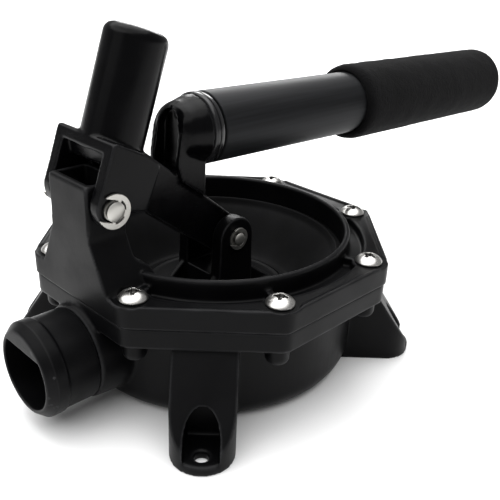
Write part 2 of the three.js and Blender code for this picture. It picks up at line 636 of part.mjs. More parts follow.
const tail = makeTail();
const seal = makeSeal();
place('inlet_tail', mirrorX(tail), blackPlastic());
place('outlet_tail', tail, blackPlastic());
place('inlet_seal', mirrorX(seal), rubber());
place('outlet_seal', seal, rubber());
const inletFlapX = -(SEPTUM_IN - GAP);
const outletFlapX = SEPTUM_OUT + GAP;
place('inlet_flap', makeFlap(inletFlapX), rubber());
place('outlet_flap', makeFlap(outletFlapX), rubber());
place('inlet_flap_bar', makeFlapBar(inletFlapX), blackPlastic());
place('outlet_flap_bar', makeFlapBar(outletFlapX), blackPlastic());

const screw = makeCoverScrew();
atBolts(screw).forEach((solid, i) => place(`cover_screw_${i + 1}`, solid, stainless()));

place('diaphragm', makeDiaphragm(), rubber());
place('upper_plate', makeUpperPlate(), blackPlastic());
place('lower_plate', makeLowerPlate(), blackPlastic());
place('plate_washer', makePlateWasher(), stainless());
place('plate_screw', makePlateScrew(), stainless());

place('lever', makeLever(), blackPlastic());
place('handle_collar', makeCollar(), glossPlastic());
place('handle_tube', makeTube(), anodised());
place('handle_grip', makeGrip(), foam());

function placePin(name, x, z, outerY, openDeg) {
  const halfLength = outerY + GAP + CLIP_THICK + PIN_TAIL;
  place(`${name}_pin`, makePin(halfLength).translate([x, 0, z]), stainless());
  const near = alongY(makeClip(openDeg)).translate([x, -outerY - GAP, z]);
  const far = alongY(makeClip(openDeg)).translate([x, outerY + GAP + CLIP_THICK, z]);
  place(`${name}_clip_near`, near, stainless());
  place(`${name}_clip_far`, far, stainless());
}
placePin('pivot', PIVOT_X, PIVOT_Z, BRACKET_OUTER_Y, 160);
placePin('rod', ROD_X, ROD_Z, POST_HALF_Y, 200);

export default pump;
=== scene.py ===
# Looks of a hand-operated diaphragm bilge pump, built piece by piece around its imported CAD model.
# Shapes are made in millimetres about the chamber's axis, with the feet on z = 0, then placed.
import math
import random

import bpy
import bmesh
from mathutils import Matrix, Vector, noise


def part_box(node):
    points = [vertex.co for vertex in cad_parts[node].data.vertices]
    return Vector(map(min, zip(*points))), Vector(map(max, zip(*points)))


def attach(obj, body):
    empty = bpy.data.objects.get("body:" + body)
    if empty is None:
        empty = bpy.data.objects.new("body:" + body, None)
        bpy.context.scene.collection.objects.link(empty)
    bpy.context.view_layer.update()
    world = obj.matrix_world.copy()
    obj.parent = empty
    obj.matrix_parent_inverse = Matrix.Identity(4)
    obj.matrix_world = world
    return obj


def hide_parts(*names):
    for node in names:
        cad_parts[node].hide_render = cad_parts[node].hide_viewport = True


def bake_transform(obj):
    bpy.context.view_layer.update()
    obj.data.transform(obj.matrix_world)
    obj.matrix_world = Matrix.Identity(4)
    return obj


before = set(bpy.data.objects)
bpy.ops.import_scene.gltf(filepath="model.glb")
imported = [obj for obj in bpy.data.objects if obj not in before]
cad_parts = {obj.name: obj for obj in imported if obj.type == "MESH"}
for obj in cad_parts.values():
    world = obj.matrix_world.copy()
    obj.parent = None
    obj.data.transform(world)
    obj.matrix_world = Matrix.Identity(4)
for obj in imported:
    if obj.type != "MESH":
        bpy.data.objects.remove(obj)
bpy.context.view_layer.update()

MM = 0.001


def centre(node):
    lo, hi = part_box(node)
    return (lo + hi) / 2


AXIS_X = centre("clamp_ring").x
TO_ROW = Matrix.Translation((AXIS_X, 0, 0)) @ Matrix.Scale(MM, 4)


def low(node):
    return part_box(node)[0] / MM


def high(node):
    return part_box(node)[1] / MM


# ---------- sizes, in millimetres ----------
GAP = 0.3                        # clearance between pieces
SEAM_GAP = 0.06                  # between the chamber's flange and the ring
BOLT_R = 75
BOLT_ANGLES = [22.5 + 45 * i for i in range(8)]
FOOT_ANGLES = [45, 135, 225, 315]
SEAM_Z = (high("chamber_body").z + low("clamp_ring").z) / 2
RING_TOP = SEAM_Z + 9
RIM_TOP = SEAM_Z + 14.7
RIM_OUT, RIM_IN = 63.8, 61
LAND_IN = 71                     # inner edge of the land that the cover screws stand on
FLANGE_CORNER, RING_CORNER = 8, 8.7
PAD_R, PAD_CLEAR_R = 7.4, 8.6
LIP_WIDE, LIP_HIGH = 1.8, 0.9
CHANNEL_Z = SEAM_Z + 5.5
FLANGE_Z = SEAM_Z - 9
BOWL_R, BOWL_ROUND, BOWL_WALL, BOWL_Z, FLOOR_Z = 67.7, 10, 4.7, 0.7, 5.0
FOOT_ROOT, FOOT_TIP, FOOT_HALF, FOOT_SHOULDER = 57.7, 99.7, 13.5, 73.9
POCKET_START, POCKET_HALF, POCKET_FLOOR, POCKET_ARCH = 79.5, 7.3, 4.2, 11.6
FOOT_HOLE_AT, FOOT_HOLE_R = 92.4, 3
SHANK_R, SHANK_END = 2.4, 37
HEAD_R, HEAD_H = 6, 3.6
PORT_Z = centre("inlet_tail").z / MM
PORT_START, SEPTUM_START, SOCKET_START, COLLAR_END = 57, 65, 68, 80
RECESS_R, SEPTUM_R = 16.3, 17.3
TAIL_R, TAIL_OUT_R, BEAD_R = 18.85, 20.1, 20.8
TAIL_START, TAIL_END = 71.5, 103.5
FLAP_THICK, FLAP_BAR_THICK = 2, 2.6
PIVOT_X = centre("pivot_pin").x / MM - AXIS_X / MM
PIVOT_Z = centre("pivot_pin").z / MM
ROD_X = centre("rod_pin").x / MM - AXIS_X / MM
ROD_Z = centre("rod_pin").z / MM
PIN_R, CLIP_THICK = 4, 1.2
TOWER_TOP = high("clamp_ring").z
TOWER_BACK, TOWER_HALF = -78, 13.2
WELL_Z = 69
PLATE_IN_Y, PLATE_OUT_Y, ROOF_HALF = 13.9, 19.5, 18
ARM_HALF, EYE_R, SLOT_R, SLOT_LONG = 7.7, 9.4, 4.7, 2.6
POST_HALF, POST_ARCH_Z = 10, 115.5
HANDLE_Z = 112.65
HANDLE_TILT = 1.66
SPIGOT_R, SPIGOT_END = 12.9, 72
PARK_X, PARK_Z, PARK_TILT = -51.2, 130.5, 70.8
TUBE_R, TUBE_BORE = 15.9, 13.2
COLLAR_START, TUBE_START, TUBE_END = -14.8, -8.6, 222
GRIP_START, GRIP_END, GRIP_R, GRIP_ROUND = 90, 232.2, 20, 7
PLATE_Z = low("upper_plate").z
PLATE_R, CENTRE_BORE = 37, 3.3
FORK_HALF, FORK_HALF_Y, FORK_GAP = 10, 15, 8.3
SKIN_THICK = 2
SKIN_RIM_R, SKIN_IN_R, SKIN_OUT_R = 60.6, 38, 70.4
DISC_R, DISC_THICK = 34, 3
DISC_TOP = PLATE_Z - SKIN_THICK - 2 * GAP
WASHER_R, WASHER_THICK = 9, 1.2
WASHER_TOP = DISC_TOP - DISC_THICK - GAP
HEX_R, HEX_HIGH = 5.8, 2.6
HEX_TOP = WASHER_TOP - WASHER_THICK - GAP
MOST_TRIANGLES = 185000          # in one piece


# ---------- mesh tools ----------
def spin(deg, axis):
    return Matrix.Rotation(math.radians(deg), 4, axis)


def shift(x=0, y=0, z=0):
    return Matrix.Translation((x, y, z))


ALONG_X = spin(90, "Y")
ALONG_Y = spin(-90, "X")
MIRROR_X = Matrix.Scale(-1, 4, (1, 0, 0))
AT_PORT = shift(z=PORT_Z) @ ALONG_X
AT_HANDLE = shift(z=HANDLE_Z) @ spin(HANDLE_TILT, "Y") @ ALONG_X
AT_PARK = shift(PARK_X, 0, PARK_Z) @ spin(90 - PARK_TILT, "Y")


def to_object(bm, name="part"):
    bmesh.ops.recalc_face_normals(bm, faces=bm.faces)
    mesh = bpy.data.meshes.new(name)
    bm.to_mesh(mesh)
    bm.free()
    obj = bpy.data.objects.new(name, mesh)
    bpy.context.collection.objects.link(obj)
    return obj


def moved(obj, matrix):
    obj.data.transform(matrix)
    if matrix.determinant() < 0:
        obj.data.flip_normals()
    return obj


def copied(obj, matrix):
    twin = obj.copy()
    twin.data = obj.data.copy()
    bpy.context.collection.objects.link(twin)
    return moved(twin, matrix)


def spread(obj, angles, radius=0):
    """Copies of an object about Z, one at each angle. The first one is the object itself."""
    twins = [copied(obj, spin(a, "Z") @ shift(radius)) for a in angles[1:]]
    return [moved(obj, spin(angles[0], "Z") @ shift(radius))] + twins


def both_ports(*objs):
    return [*objs, *(copied(o, MIRROR_X) for o in objs)]


def lathe(profile, segments=96, at=None, closed=False):
    """A turned solid. The profile is (radius, z) from the axis back to the axis, or a closed loop."""
    bm = bmesh.new()
    rings = []
    for r, z in profile:
        if r < 1e-6:
            rings.append([bm.verts.new((0, 0, z))])
            continue
        turn = (2 * math.pi * i / segments for i in range(segments))
        rings.append([bm.verts.new((r * math.cos(a), r * math.sin(a), z)) for a in turn])
    pairs = list(zip(rings, rings[1:]))
    if closed:
        pairs.append((rings[-1], rings[0]))
    for first, second in pairs:
        for i in range(segments):
            k = (i + 1) % segments
            corners = [first[i % len(first)], first[k % len(first)],
                       second[k % len(second)], second[i % len(second)]]
            unique = list(dict.fromkeys(corners))
            if len(unique) > 2:
                bm.faces.new(unique)
    obj = to_object(bm)
    return moved(obj, at) if at else obj


def rod(radius, z0, z1, at=None, segments=64):
    """A plain cylinder along Z."""
    return lathe([(0, z0), (radius, z0), (radius, z1), (0, z1)], segments, at)


def rounded(points, steps=6):
    """An outline whose corners are rounded where a third value gives a radius."""
    result = []
    for i, point in enumerate(points):
        corner = Vector(point[:2])
        radius = point[2] if len(point) > 2 else 0
        if radius == 0:
            result.append(tuple(corner))
            continue
        before = (Vector(points[i - 1][:2]) - corner).normalized()
        after = (Vector(points[(i + 1) % len(points)][:2]) - corner).normalized()
        half = before.angle(after) / 2
        middle = corner + (before + after).normalized() * radius / math.sin(half)
        start = corner + before * radius / math.tan(half) - middle
        sweep = start.angle_signed(corner + after * radius / math.tan(half) - middle)
        for k in range(steps + 1):
            result.append(tuple(middle + Matrix.Rotation(-sweep * k / steps, 2) @ start))
    return result


def arc(cx, cy, rx, ry, start, end, steps=24):
    """Points along an elliptical arc, in degrees."""
    turn = (math.radians(start + (end - start) * i / steps) for i in range(steps + 1))
    return [(cx + rx * math.cos(a), cy + ry * math.sin(a)) for a in turn]


def prism(points, lo, hi, plane="plan"):
    """An outline pulled from lo to hi: in plan, in side view (x, z) or in front view (y, z)."""
    place = {
        "plan": lambda a, b, h: (a, b, h),
        "side": lambda a, b, h: (a, h, b),
        "front": lambda a, b, h: (h, a, b),
    }[plane]
    bm = bmesh.new()
    bottom = [bm.verts.new(place(a, b, lo)) for a, b in points]
    top = [bm.verts.new(place(a, b, hi)) for a, b in points]
    bm.faces.new(bottom)
    bm.faces.new(top)
    for i in range(len(points)):
        k = (i + 1) % len(points)
        bm.faces.new((bottom[i], bottom[k], top[k], top[i]))
    return to_object(bm)


def block(x0, x1, y0, y1, z0, z1):
    return prism([(x0, y0), (x1, y0), (x1, y1), (x0, y1)], z0, z1)


def bake(obj):
    """Applies an object's modifiers to its mesh."""
    graph = bpy.context.evaluated_depsgraph_get()
    graph.update()
    mesh = bpy.data.meshes.new_from_object(obj.evaluated_get(graph))
    obj.modifiers.clear()
    obj.data = mesh
    return obj


def combine(obj, add=(), cut=(), common=()):
    """Joins, cuts and intersects solids, in that order, and uses them up."""
    steps = [(o, "UNION") for o in add] + [(o, "DIFFERENCE") for o in cut]
    steps += [(o, "INTERSECT") for o in common]
    for other, operation in steps:
        mod = obj.modifiers.new("combine", "BOOLEAN")
        mod.operation = operation
        mod.solver = "MANIFOLD"
        mod.object = other
    bake(obj)
    for other, _ in steps:
        bpy.data.objects.remove(other)
    return obj


def soften(obj, voxel, rounds, triangles=MOST_TRIANGLES):
    """Gives a combined solid the small even fillets of a moulding or a polished part."""
    remesh = obj.modifiers.new("cells", "REMESH")
    remesh.mode = "VOXEL"
    remesh.voxel_size = voxel * 1
    smooth = obj.modifiers.new("fillets", "SMOOTH")
    smooth.factor = 0.5
    smooth.iterations = rounds
    bake(obj)
    count = 2 * len(obj.data.polygons)
    if count > triangles:
        fewer = obj.modifiers.new("fewer", "DECIMATE")
        fewer.ratio = triangles / count
        bake(obj)
    return obj


def bevel(obj, width, segments=3):
    """Rounds the sharp edges of a simple solid."""
    mod = obj.modifiers.new("edges", "BEVEL")
    mod.width = width
    mod.segments = segments
    mod.limit_method = "ANGLE"
    mod.angle_limit = math.radians(35)
    return bake(obj)


def dress(obj, node, surface, smooth_angle=None):
    """Names a piece after the node it replaces, puts it in the row frame and gives it its material."""
    obj.name = node + "_fine"
    obj.data.name = obj.name
    obj.data.transform(TO_ROW)
    obj.data.shade_smooth()
    if smooth_angle:
        obj.data.set_sharp_from_angle(angle=math.radians(smooth_angle))
    obj.data.materials.clear()
    obj.data.materials.append(surface)
    return obj


def octagon(corner_r):
    """An octagon whose corners are arcs about the screws."""
    points = []
    for mid in BOLT_ANGLES:
        x = BOLT_R * math.cos(math.radians(mid))
        y = BOLT_R * math.sin(math.radians(mid))
        points += arc(x, y, corner_r, corner_r, mid - 22.5, mid + 22.5, 10)
    return points


def d_outline(radius, top):
    """A circle about a port's axis, cut off by a level line, in front view."""
    right = math.degrees(math.asin(top / radius))
    return arc(0, PORT_Z, radius, radius, 180 - right, 360 + right, 48)


# ---------- materials ----------
def material(name, color, roughness, metallic=0.0, gloss=0.5):
    mat = bpy.data.materials.new(name)
    mat.use_nodes = True
    shader = mat.node_tree.nodes["Principled BSDF"]
    shader.inputs["Base Color"].default_value = (*color, 1)
    shader.inputs["Roughness"].default_value = roughness
    shader.inputs["Metallic"].default_value = metallic
    shader.inputs["Specular IOR Level"].default_value = gloss
    return mat, shader


class Nodes:
    """Short calls for wiring one material."""

    def __init__(self, mat):
        self.tree = mat.node_tree
        self.coord = self.tree.nodes.new("ShaderNodeTexCoord").outputs["Object"]

    def node(self, kind, **inputs):
        made = self.tree.nodes.new(kind)
        for key, value in inputs.items():
            self.feed(made.inputs[key.replace("_", " ")], value)
        return made

    def feed(self, socket, value):
        if isinstance(value, bpy.types.NodeSocket):
            self.tree.links.new(value, socket)
        else:
            socket.default_value = value

    def noise(self, scale, detail=2.0, roughness=0.5, stretch=None):
        vector = self.coord
        if stretch:
            mapping = self.node("ShaderNodeMapping", Vector=vector)
            mapping.inputs["Scale"].default_value = stretch
            vector = mapping.outputs["Vector"]
        made = self.node("ShaderNodeTexNoise", Vector=vector, Scale=scale, Detail=detail,
                         Roughness=roughness)
        return made.outputs["Fac"]

    def cells(self, scale):
        made = self.node("ShaderNodeTexVoronoi", Vector=self.coord, Scale=scale)
        return made.outputs["Distance"]

    def span(self, value, lo, hi, from_lo=0.0, from_hi=1.0):
        made = self.node("ShaderNodeMapRange", Value=value)
        made.inputs["From Min"].default_value = from_lo
        made.inputs["From Max"].default_value = from_hi
        made.inputs["To Min"].default_value = lo
        made.inputs["To Max"].default_value = hi
        return made.outputs["Result"]

    def math(self, operation, a, b):
        made = self.tree.nodes.new("ShaderNodeMath")
        made.operation = operation
        self.feed(made.inputs[0], a)
        self.feed(made.inputs[1], b)
        return made.outputs[0]

    def mix(self, factor, first, second):
        made = self.tree.nodes.new("ShaderNodeMix")
        made.data_type = "RGBA"
        self.feed(made.inputs["Factor"], factor)
        self.feed(made.inputs[6], first)
        self.feed(made.inputs[7], second)
        return made.outputs[2]

    def edges(self, lo=0.512, hi=0.56):
        """1 on the sharpest outward edges and 0 on the flat; with lo above hi, 1 in the hollows."""
        pointed = self.tree.nodes.new("ShaderNodeNewGeometry").outputs["Pointiness"]
        return self.span(pointed, 0.0, 1.0, lo, hi)

    def bump(self, shader, height, distance):
        made = self.node("ShaderNodeBump", Height=height)
        made.inputs["Strength"].default_value = 1
        made.inputs["Distance"].default_value = distance
        self.tree.links.new(made.outputs["Normal"], shader.inputs["Normal"])


def shade(color, factor):
    return (*(c * factor for c in color), 1)


EDGE_WEAR_AND_HIGHLIGHT = (0.06, 0.06, 0.063, 1)  # black plastic where an edge has been rubbed, also the painted highlight along sharp edges


def moulded(name, color, roughness, gloss, grain=2600.0, depth=0.00003, wear_and_highlight=0.35):
    """Injection-moulded plastic: spark-eroded grain, slow tone drift, rubbed edges lightened further as a
    painted edge highlight, a few scuffs.
    """
    mat, shader = material(name, color, roughness, gloss=gloss)
    n = Nodes(mat)
    drift = n.span(n.noise(38.0, 4.0), 0.0, 1.0, 0.35, 0.65)
    tone = n.mix(drift, shade(color, 0.78), shade(color, 1.25))
    scuff = n.span(n.noise(220.0, 5.0, 0.7, (1.0, 0.35, 2.2)), 0.0, 1.0, 0.62, 0.74)
    # painted highlight: the sharpest edges are lightened, partly as rubbing and partly standing for light
    # caught along the fillets
    rubbed_and_highlit_edges = n.math("MULTIPLY", n.edges(), n.span(n.noise(90.0, 3.0), 0.35, 1.0, 0.3, 0.6))
    edge_wear_and_highlight = n.math("MULTIPLY", n.math("ADD", rubbed_and_highlit_edges, n.math("MULTIPLY", scuff, 0.04)), wear_and_highlight)
    n.tree.links.new(n.mix(edge_wear_and_highlight, tone, EDGE_WEAR_AND_HIGHLIGHT), shader.inputs["Base Color"])
    rough = n.math("ADD", n.span(n.noise(75.0, 3.0), roughness - 0.06, roughness + 0.07, 0.3, 0.7),
                   n.math("MULTIPLY", scuff, 0.08))
    n.tree.links.new(rough, shader.inputs["Roughness"])
    height = n.math("ADD", n.noise(grain, 2.0), n.math("MULTIPLY", n.noise(grain / 9, 2.0), 0.8))
    n.bump(shader, height, depth)
    return mat


def rubbery(name, color):
    """Black rubber: a matt skin with a slight bloom."""
    mat, shader = material(name, color, 0.62, gloss=0.1)
    n = Nodes(mat)
    bloom = n.span(n.noise(60.0, 5.0, 0.6), 0.0, 1.0, 0.45, 0.7)
    n.tree.links.new(n.mix(bloom, shade(color, 0.85), shade(color, 1.9)), shader.inputs["Base Color"])
    n.tree.links.new(n.span(n.noise(90.0, 3.0), 0.52, 0.72), shader.inputs["Roughness"])
    n.bump(shader, n.noise(1400.0, 3.0), 0.00005)
    shader.inputs["Sheen Weight"].default_value = 0.02
    return mat


def foamy(name, color):
    """Closed-cell foam: fine skin of cells, a little lighter where it is rubbed."""
    mat, shader = material(name, color, 0.9, gloss=0.06)
    n = Nodes(mat)
    drift = n.span(n.noise(45.0, 5.0, 0.6), 0.0, 1.0, 0.35, 0.7)
    cells = n.cells(1150.0)
    pits = n.span(cells, 0.0, 1.0, 0.05, 0.5)
    tone = n.mix(drift, shade(color, 0.85), shade(color, 1.5))
    n.tree.links.new(n.mix(pits, shade(color, 0.55), tone), shader.inputs["Base Color"])
    n.tree.links.new(n.span(n.noise(300.0, 3.0), 0.8, 0.98), shader.inputs["Roughness"])
    height = n.math("ADD", n.math("MULTIPLY", cells, 0.7), n.noise(420.0, 4.0))
    n.bump(shader, height, 0.00022)
    shader.inputs["Sheen Weight"].default_value = 0.02
    shader.inputs["Sheen Roughness"].default_value = 0.6
    return mat


def drawn(name, color):
    """Black anodised tube: lengthwise drawing lines under a satin skin."""
    mat, shader = material(name, color, 0.46, 0.5, 0.16)
    n = Nodes(mat)
    lines = n.noise(900.0, 3.0, 0.6, (0.012, 1.0, 1.0))
    blotch = n.noise(30.0, 3.0)
    tone = n.mix(n.span(lines, 0.0, 1.0, 0.35, 0.65), shade(color, 0.82), shade(color, 1.22))
    n.tree.links.new(tone, shader.inputs["Base Color"])
    rough = n.math("ADD", n.span(lines, -0.05, 0.05), n.span(blotch, 0.44, 0.52))
    n.tree.links.new(rough, shader.inputs["Roughness"])
    n.bump(shader, lines, 0.000012)
    shader.inputs["Anisotropic"].default_value = 0.3
    return mat


def polished(name, color, roughness=0.27):
    """Stainless: fine random scratches, and painted shade that darkens the hollows and the recess a mesh
    marks for it.
    """
    mat, shader = material(name, color, roughness, 1.0)
    n = Nodes(mat)
    scratch = n.noise(3200.0, 3.0, 0.6, (0.15, 1.0, 0.4))
    film = n.noise(160.0, 4.0)
    painted_recess_shade = n.tree.nodes.new("ShaderNodeAttribute")
    painted_recess_shade.attribute_name = "painted_recess_shade"
    # painted shade: the hollows and the marked screw recess are darkened towards black, as if shade fell
    # there
    hollow = n.math("MAXIMUM", n.edges(0.5, 0.44), painted_recess_shade.outputs["Fac"])
    tone = n.mix(n.math("MULTIPLY", hollow, 0.9), n.mix(film, shade(color, 0.93), shade(color, 1.05)),
                 shade(color, 0.06))
    n.tree.links.new(tone, shader.inputs["Base Color"])
    rough = n.math("ADD", n.span(film, roughness - 0.05, roughness + 0.08, 0.3, 0.7),
                   n.span(scratch, -0.02, 0.04))
    n.tree.links.new(rough, shader.inputs["Roughness"])
    n.bump(shader, scratch, 0.000006)
    return mat


MOULDED = moulded("moulded_black", (0.0017, 0.0017, 0.002), 0.4, 0.085)
LEVER = moulded("lever_black", (0.0012, 0.0012, 0.0015), 0.22, 0.095,
                grain=3400.0, depth=0.000018, wear_and_highlight=0.25)
COLLAR = moulded("collar_black", (0.004, 0.004, 0.0045), 0.2, 0.35,
                 grain=3800.0, depth=0.000008, wear_and_highlight=0.2)
RUBBER = rubbery("black_rubber", (0.0018, 0.0018, 0.0021))
FOAM = foamy("grip_foam", (0.0016, 0.0016, 0.0018))
TUBE = drawn("tube_black", (0.0115, 0.012, 0.013))
STEEL = polished("stainless", (0.56, 0.55, 0.53))
SPRING = polished("spring_steel", (0.5, 0.49, 0.46), 0.42)


# ---------- chamber ----------
def foot():
    """One foot along +X, as the solid to add and the solids to cut."""
    side = rounded([(FOOT_ROOT, 0), (FOOT_TIP, 0), (FOOT_TIP, 4.9, 2), (FOOT_SHOULDER, 43),
                    (FOOT_SHOULDER, 45), (FOOT_ROOT, 45)])
    tip = arc(FOOT_TIP - FOOT_HALF, 0, FOOT_HALF, FOOT_HALF, -90, 90, 30)
    plan = [(FOOT_ROOT, -FOOT_HALF), *tip, (FOOT_ROOT, FOOT_HALF)]
    solid = combine(prism(side, -FOOT_HALF - 0.5, FOOT_HALF + 0.5, "side"), common=[prism(plan, -1, 46)])
    arch = [(-POCKET_HALF, POCKET_FLOOR), (POCKET_HALF, POCKET_FLOOR),
            *arc(0, 12, POCKET_HALF, POCKET_ARCH, 0, 180, 28)]
    pocket = prism(arch, POCKET_START, FOOT_TIP + 2.3, "front")
    hole = lathe([(0, -1), (FOOT_HOLE_R, -1), (FOOT_HOLE_R, 3.4), (FOOT_HOLE_R + 0.8, 4.3), (0, 4.3)],
                 32, shift(FOOT_HOLE_AT))
    return solid, [pocket, hole]


def chamber_body():
    """The bowl, with its flange, feet, screw nubs and two ports."""
    top = SEAM_Z - SEAM_GAP / 2
    edge = arc(BOWL_R - BOWL_ROUND, BOWL_Z + BOWL_ROUND, BOWL_ROUND, BOWL_ROUND, -90, 0, 10)
    bowl = lathe([(0, BOWL_Z), *edge, (BOWL_R, top), (0, top)], 128)
    wall = BOWL_R - BOWL_WALL
    inner = [(wall - 6, FLOOR_Z), (wall - 1.8, FLOOR_Z + 1.8), (wall, FLOOR_Z + 6)]
    space = lathe([(0, FLOOR_Z), *inner, (wall, top + 1), (0, top + 1)], 128)
    flange = prism(octagon(FLANGE_CORNER), FLANGE_Z, top)
    nub = lathe([(0, 34.6), (3.4, 34.6), (4.6, 35.4), (5.1, 36.8), (5.1, 44), (0, 44)], 40)
    foot_solid, foot_cuts = foot()
    collar = lathe([(0, PORT_START), (22, PORT_START), (21.5, 70), (20.8, COLLAR_END - 0.8),
                    (20.4, COLLAR_END), (0, COLLAR_END)], 96, AT_PORT)
    shell = combine(bowl, [flange, *spread(nub, BOLT_ANGLES, BOLT_R), *spread(foot_solid, FOOT_ANGLES),
                           *both_ports(collar)], [space])
    septum = rod(SEPTUM_R, SEPTUM_START, SOCKET_START, AT_PORT)
    socket = rod(TAIL_R + GAP, SOCKET_START, COLLAR_END + 2, AT_PORT)
    recess = rod(RECESS_R, 50, SEPTUM_START, AT_PORT)
    opening = prism(d_outline(12.5, 5.5), 61, SOCKET_START + 2, "front")
    drill = rod(SHANK_R + GAP, SHANK_END - 1, SEAM_Z + 1, segments=24)
    cuts = [*both_ports(socket, recess, opening), *spread(drill, BOLT_ANGLES, BOLT_R)]
    for cut in foot_cuts:
        cuts += spread(cut, FOOT_ANGLES)
    return soften(combine(shell, both_ports(septum), cuts), voxel=0.72, rounds=3)


# ---------- hose tails and valves ----------
def tail():
    """A hose tail with a bead near its end and a D-shaped bore."""
    body = lathe([
        (0, TAIL_START), (TAIL_R, TAIL_START), (TAIL_R, COLLAR_END + GAP),
        (TAIL_OUT_R, COLLAR_END + 0.4), (TAIL_OUT_R, TAIL_END - 8.9), (BEAD_R, TAIL_END - 8.5),
        (BEAD_R, TAIL_END - 3.6), (18, TAIL_END - 0.3), (17.3, TAIL_END), (0, TAIL_END),
    ], 128, AT_PORT)
    bore = prism(d_outline(16.3, 10.3), TAIL_START - 1.5, TAIL_END + 1.5, "front")
    return soften(combine(body, cut=[bore]), voxel=0.4, rounds=2, triangles=70000)


def seal():
    """The ring between a tail and the bottom of its socket."""
    lo, hi = SOCKET_START + GAP, TAIL_START - GAP
    into, out = 16.3, TAIL_R - GAP
    loop = rounded([(into, lo, 0.6), (into, hi, 0.6), (out, hi, 0.6), (out, lo, 0.6)], 3)
    return lathe(loop, 96, AT_PORT, closed=True)


def flap(x):
    """A valve flap, from its face at x outwards."""
    return bevel(prism(d_outline(14.8, 7.3), x, x + FLAP_THICK, "front"), 0.35)


def flap_bar(x):
    """The bar just above a flap."""
    bar = rounded([(-11, 35.3, 1.2), (11, 35.3, 1.2), (11, 38.5, 1.2), (-11, 38.5, 1.2)], 4)
    return bevel(prism(bar, x, x + FLAP_BAR_THICK, "front"), 0.3)


# ---------- clamp ring and tower ----------
def tower():
    """The pillar that holds the pivot pin, with a well in its top."""
    base = SEAM_Z + 3
    side = rounded([
        (TOWER_BACK, base), (-61, base), (-52.7, base + 4, 2), (-52.7, 67, 7), (-60.2, 71, 5),
        (-60.6, 82, 6), (-58.2, TOWER_TOP - 4, 3), (-59.5, TOWER_TOP, 1.5), (TOWER_BACK, TOWER_TOP, 1.5),
    ])
    half = [(25, base), (24, 60, 4), (17.5, 73, 14), (TOWER_HALF, 82, 10), (TOWER_HALF, TOWER_TOP, 1.5)]
    left = [(-a, *rest) for a, *rest in reversed(half)]
    front = prism(rounded([*half, *left]), TOWER_BACK - 1, -50, "front")
    well_plan = rounded([(-75, -11, 1.5), (-62, -11, 1.5), (-62, 11, 1.5), (-75, 11, 1.5)])
    well = prism(well_plan, WELL_Z, TOWER_TOP + 5)
    return combine(prism(side, -26, 26, "side"), cut=[well], common=[front])


def clamp_ring():
    """The octagonal ring, with its rim, channel, screw pads and ribs, and the tower."""
    bottom = SEAM_Z + SEAM_GAP / 2
    plate = prism(octagon(RING_CORNER), bottom, RING_TOP)
    wall = [(RIM_IN, bottom), (RIM_OUT, bottom), (RIM_OUT, RIM_TOP, 1.3), (RIM_IN, RIM_TOP, 1.3)]
    rim = lathe(rounded(wall), 160, closed=True)
    channel = lathe([(RIM_OUT - 1, CHANNEL_Z), (LAND_IN - 0.8, CHANNEL_Z), (LAND_IN, RING_TOP + 1),
                     (RIM_OUT - 1, RING_TOP + 1)], 160, closed=True)
    mouth = rod(RIM_IN, bottom - 1, RIM_TOP + 1, segments=160)
    recess = rod(LAND_IN + GAP, bottom - 1, SEAM_Z + 2.6, segments=160)
    lip_inside = prism(octagon(RING_CORNER - LIP_WIDE), RING_TOP - 2, RING_TOP + 2)
    pad_room = rod(PAD_CLEAR_R, RING_TOP - 2, RING_TOP + 2, segments=48)
    lip = combine(prism(octagon(RING_CORNER), RING_TOP - 1, RING_TOP + LIP_HIGH),
                  cut=[lip_inside, *spread(pad_room, BOLT_ANGLES, BOLT_R)])
    pads = spread(rod(PAD_R, CHANNEL_Z - 1, RING_TOP, segments=48), BOLT_ANGLES, BOLT_R)
    ribs = spread(block(-12.2, -6.3, -1.5, 1.5, CHANNEL_Z - 1, RING_TOP + 0.6), BOLT_ANGLES, BOLT_R)
    plate = combine(plate, cut=[channel])
    open_ring = combine(plate, [rim, *pads, *ribs, lip], [mouth, recess])
    shank = spread(rod(SHANK_R + GAP, bottom - 2, RING_TOP + 1, segments=24), BOLT_ANGLES, BOLT_R)
    head_room = spread(rod(HEAD_R + 2 * GAP, RING_TOP, RING_TOP + 12, segments=48), BOLT_ANGLES, BOLT_R)
    bore = rod(PIN_R + GAP, -30, 30, shift(PIVOT_X, 0, PIVOT_Z) @ ALONG_Y)
    return soften(combine(open_ring, [tower()], [*shank, *head_room, bore]), voxel=0.6, rounds=3)


